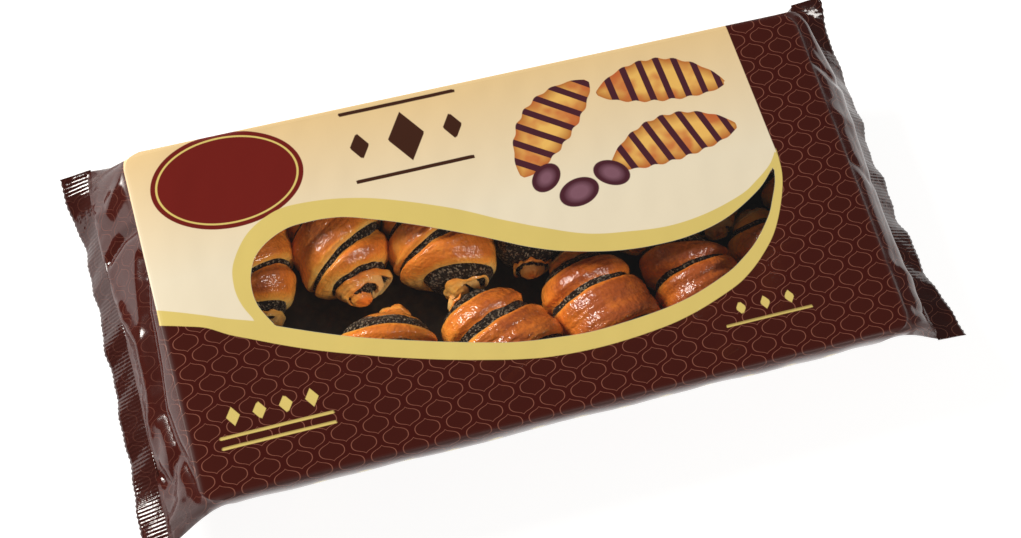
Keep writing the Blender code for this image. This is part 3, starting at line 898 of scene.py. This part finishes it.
    # browner where the surface faces up, as the tops bake browner; the lower sides are also made paler as painted
    # light, for the fill light that falls on them
    facingUpBakeAndLight = 0.5 + 0.5 * sinPhi[None, :] + 0 * q
    browningAndPaintedLight = 0.80 * bake * (0.14 + 0.86 * facingUpBakeAndLight ** 1.6) + 0.10 * lumps + piece.get("bake", 0.0)
    rolled = np.stack([acrossA, acrossB, q + 70.0 * (seed % 13)], -1)       # mm across and along, apart for each piece
    return points, np.stack([filling, np.clip(browningAndPaintedLight, 0, 1), pale], -1), rolled


def glazedCrust():
    # egg glaze bakes to a thin clear shell, wrinkled along the bands, over golden to red-brown dough
    material, tree, shader = newMaterial("egg glazed crust and chocolate filling")
    state = addNode(tree, "Attribute", attribute_name="state").outputs["Vector"]
    filling, browningAndPaintedLight, pale = addNode(tree, "SeparateXYZ", [state]).outputs
    where = addNode(tree, "Attribute", attribute_name="rolled").outputs["Vector"]      # mm, its z along the piece
    blotch = addNode(tree, "TexNoise", {"Vector": where, "Scale": 0.13, "Detail": 4.0, "Roughness": 0.6})
    speck = addNode(tree, "TexNoise", {"Vector": where, "Scale": 0.9, "Detail": 3.0, "Roughness": 0.65})
    streakPlace = addNode(tree, "VectorMath", [where, (0.10, 0.10, 0.75)], operation="MULTIPLY")
    streak = addNode(tree, "TexNoise", {"Vector": streakPlace, "Scale": 1.0, "Detail": 4.0, "Roughness": 0.6})
    # the crust's tone starts from the baking, which also carries painted light: paler lower sides
    tone = browningAndPaintedLight
    for noise, key in ((blotch, "blotch"), (streak, "streak"), (speck, "speck")):
        tone = addNode(tree, "Math", [noise.outputs[0], rugelachLook[key], tone], operation="MULTIPLY_ADD")
    tone = addNode(tree, "Math", [tone, rugelachLook["paler"]], operation="SUBTRACT")
    crust = addNode(tree, "ValToRGB", [tone])
    stops = crust.color_ramp.elements
    for place, _ in rugelachLook["crust"][1:-1]:
        stops.new(place)
    for stop, (place, colour) in zip(stops, rugelachLook["crust"]):
        stop.position, stop.color = place, linear(colour)
    crumb = addNode(tree, "MixRGB", [speck.outputs[0], *map(linear, rugelachLook["crumb"])])
    crust = addNode(tree, "MixRGB", [pale, crust, crumb])
    # filling: cocoa and sugar grains about 0.6 mm, near black, with pale grains that are partly sugar and partly
    # painted glints
    grain = addNode(tree, "TexVoronoi", {"Vector": where, "Scale": 1.7})
    sugarAndPaintedGlint = addNode(tree, "MapRange", [grain.outputs["Color"], 0.66, 0.80])
    dark = addNode(tree, "MixRGB", [sugarAndPaintedGlint, *map(linear, rugelachLook["chocolate"])])
    fromEdge = addNode(tree, "Math", [filling, 0.45], operation="SUBTRACT")
    ragged = addNode(tree, "Math", [speck.outputs[0], 0.9, fromEdge], operation="MULTIPLY_ADD")
    mask = addNode(tree, "MapRange", [ragged, 0.43, 0.49])
    colour = addNode(tree, "MixRGB", [mask, crust, dark])
    tree.links.new(colour.outputs[0], shader.inputs["Base Color"])
    rough = addNode(tree, "MapRange", [mask, 0.0, 1.0, 0.45, 0.38])
    tree.links.new(rough.outputs[0], shader.inputs["Roughness"])
    bare = addNode(tree, "Math", [mask, pale], operation="MAXIMUM")
    glaze = addNode(tree, "MapRange", [bare, 0.0, 0.8, 1.0, 0.1])
    tree.links.new(glaze.outputs[0], shader.inputs["Coat Weight"])
    shader.inputs["Coat Roughness"].default_value = 0.05
    shader.inputs["Coat IOR"].default_value = 1.5
    shader.inputs["IOR"].default_value = 1.45
    shader.inputs["Specular IOR Level"].default_value = 0.28     # the dough under the glaze is matt
    # relief: wrinkles and pits of the glaze, and the filling's grains
    pores = addNode(tree, "TexNoise", {"Vector": where, "Scale": 0.55, "Detail": 2.0, "Roughness": 0.5})
    wrinkle = addNode(tree, "MixRGB", [0.70, streak.outputs[0], pores.outputs[0]])
    coarse = addNode(tree, "TexNoise", {"Vector": where, "Scale": 1.3, "Detail": 3.0, "Roughness": 0.7})
    height = addNode(tree, "MixRGB", [mask, wrinkle, coarse.outputs[0]])
    strength = addNode(tree, "MapRange", [mask, 0.0, 1.0, 0.5, 1.0])
    bump = addNode(tree, "Bump", {"Height": height, "Strength": strength, "Distance": 0.0020})
    for socket in ("Normal", "Coat Normal"):
        tree.links.new(bump.outputs[0], shader.inputs[socket])
    return material


# Where each piece lies: its middle, the yaw of the end that shows, and band edges from its middle (mm)
rugelachPieces = [
    {"at": (-100, 31), "yaw": -0.02, "edges": (10.8, 22.5), "lean": (-3.4, 1.5), "half": 26.7, "radius": 17.1,
     "bend": 0.6, "coil": 0.85, "firstFilling": 1.3},
    {"at": (-65, 31), "yaw": 0.13, "edges": (9.7, 19.9), "lean": (-7.5, -1.7), "half": 25, "radius": 19, "bend": 3,
     "coil": 1.28, "lastFilling": 1.5, "knob": (-3.6, 4.0), "knobWidth": 6.6, "knobHeight": 4.4, "endBake": 0.75,
     "stub": 2.4, "turnStart": 3.3},
    {"at": (-26.5, 20.4), "yaw": 0.14, "edges": (3, 18.3), "lean": (-4.6, 3.5), "half": 24.5, "radius": 20,
     "bend": 4.5, "farHalf": 34, "coil": 1.08, "firstFilling": 2.6, "lastFilling": 3.8, "knob": (-5.0, 4.0),
     "stub": 2.0},
    {"at": (14, 27), "yaw": -0.19, "edges": (7, 16), "lean": (-3, 0), "half": 28, "radius": 18.2, "bake": 0.1,
     "lastFilling": 11.0, "coil": 0.85, "stub": 1.0},
    {"at": (51, 28), "yaw": 0.05, "edges": (9, 20), "half": 28, "radius": 18.2, "bake": 0.1},
    {"at": (89, 26), "yaw": -0.1, "edges": (9, 19), "half": 28, "bake": 0.05},
    {"at": (121, 24), "yaw": 0.1, "edges": (9, 20), "half": 28, "radius": 14.5, "bake": 0.05, "coil": 0.8},
    {"at": (-97, -38), "yaw": 0.05, "edges": (8, 16), "half": 23, "farHalf": 22, "farEdges": (8, 16), "turned": True},
    {"at": (-62, -27.5), "yaw": -0.36, "edges": (3, 12.2), "lean": (-4.0, -3.4), "half": 24.5, "radius": 20.2,
     "bend": -3.5, "turned": True, "coil": 0.72, "crumb": 0.1, "endBake": 0.8, "lastFilling": 4.6, "knobHeight": 1.4,
     "stub": 2.2},
    {"at": (-9.5, -30.4), "yaw": 0.57, "edges": (6.9, 22.2), "lean": (4.4, 3.0), "half": 27.5, "radius": 18.3,
     "turned": True, "bake": 0.14, "coil": 0.72, "firstFilling": 3.4, "lastFilling": 4.5, "stub": 1.2},
    {"at": (31, -30), "yaw": 0.31, "edges": (10, 23), "lean": (1.8, 2.3), "half": 32, "radius": 19.4, "bend": -2,
     "turned": True, "bake": 0.27},
    {"at": (71, -27), "yaw": 0.23, "edges": (6, 17.2), "lean": (1.8, 6.4), "half": 28.5, "radius": 17.7, "bend": -2,
     "turned": True, "bake": 0.25, "firstFilling": 1.5},
    {"at": (109, -30), "yaw": 0.25, "edges": (9, 21), "lean": (2, 4), "half": 30, "radius": 17.6, "turned": True,
     "bake": 0.2},
]
crustMaterial = glazedCrust()
pastries = []
for number, piece in enumerate(rugelachPieces):
    points, state, rolled = rugelachMesh(piece, 100 + 17 * number)
    count, around = points.shape[:2]
    body = makePiece("rugelach%02d" % (number + 1), points.reshape(-1, 3), gridFaces(count, around), crustMaterial,
                     {"state": state.reshape(-1, 3), "rolled": rolled.reshape(-1, 3)})
    closeRings(body, [np.arange(around)[::-1], (count - 1) * around + np.arange(around)])
    pastries.append(body)
print("rugelach made", sum(len(pastry.data.polygons) for pastry in pastries))


# Table, light and camera
studio = {
    "table": 4.0, "tableColour": "#B4B4B4", "tableGlow": 0.80,      # metres; the paper is lit to pure white
    "sky": 0.13,
    "lampTint": (1.0, 0.965, 0.91),
    "key": {"from": (-0.694, 0.480, 0.540), "far": 2.2, "size": 0.85, "power": 66.0},
    "fill": {"from": (0.55, -0.62, 0.62), "far": 2.0, "size": 0.6, "power": 17.5},
    "camera": {"place": (-0.14385, -0.2840, 0.7558), "view": (0.17758, 0.35140, -0.91923), "roll": 11.77, "lens": 70.5},
}

tableMesh = bpy.data.meshes.new("table")
corners = [(x * studio["table"], y * studio["table"], 0) for x, y in ((-1, -1), (1, -1), (1, 1), (-1, 1))]
tableMesh.from_pydata(corners, [], [(0, 1, 2, 3)])
table = bpy.data.objects.new("table", tableMesh)
bpy.context.collection.objects.link(table)
paper, _, paperShader = newMaterial("white studio paper")
for socket, value in (("Base Color", linear(studio["tableColour"])), ("Roughness", 0.9), ("Specular IOR Level", 0.0),
                      ("Emission Color", (1, 1, 1, 1)), ("Emission Strength", studio["tableGlow"])):
    paperShader.inputs[socket].default_value = value
tableMesh.materials.append(paper)

world = bpy.data.worlds.new("studio")
bpy.context.scene.world = world
world.use_nodes = True
backdrop = world.node_tree.nodes["Background"]
backdrop.inputs["Color"].default_value = (1, 1, 1, 1)
lightPath = addNode(world.node_tree, "LightPath")
seen = addNode(world.node_tree, "MapRange", [lightPath.outputs["Is Camera Ray"], 0.0, 1.0, studio["sky"], 1.0])
world.node_tree.links.new(seen.outputs[0], backdrop.inputs["Strength"])

for name in ("key", "fill"):
    settings = studio[name]
    lamp = bpy.data.lights.new(name, "AREA")
    lamp.shape = "DISK"
    lamp.size = settings["size"]
    lamp.energy = settings["power"]
    lamp.color = studio["lampTint"]
    light = bpy.data.objects.new(name, lamp)
    direction = Vector(settings["from"]).normalized()
    light.location = direction * settings["far"]
    light.rotation_euler = direction.to_track_quat("Z", "Y").to_euler()
    bpy.context.collection.objects.link(light)

lens = bpy.data.cameras.new("camera")
lens.lens = studio["camera"]["lens"]
lens.sensor_width = 36.0
lens.clip_start = 0.01
camera = bpy.data.objects.new("camera", lens)
camera.location = studio["camera"]["place"]
aim = Vector(studio["camera"]["view"]).normalized().to_track_quat("-Z", "Y").to_matrix()
camera.rotation_euler = (aim @ Matrix.Rotation(math.radians(studio["camera"]["roll"]), 3, "Z")).to_euler()
bpy.context.collection.objects.link(camera)
bpy.context.scene.camera = camera
bpy.context.scene.view_settings.view_transform = "Standard"
bpy.context.scene.view_settings.look = "None"
print("studio set")

# What each piece stands for
for piece in [film, finSeal, trayMesh] + seals + pastries:
    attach(piece, "root")
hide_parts("pack")
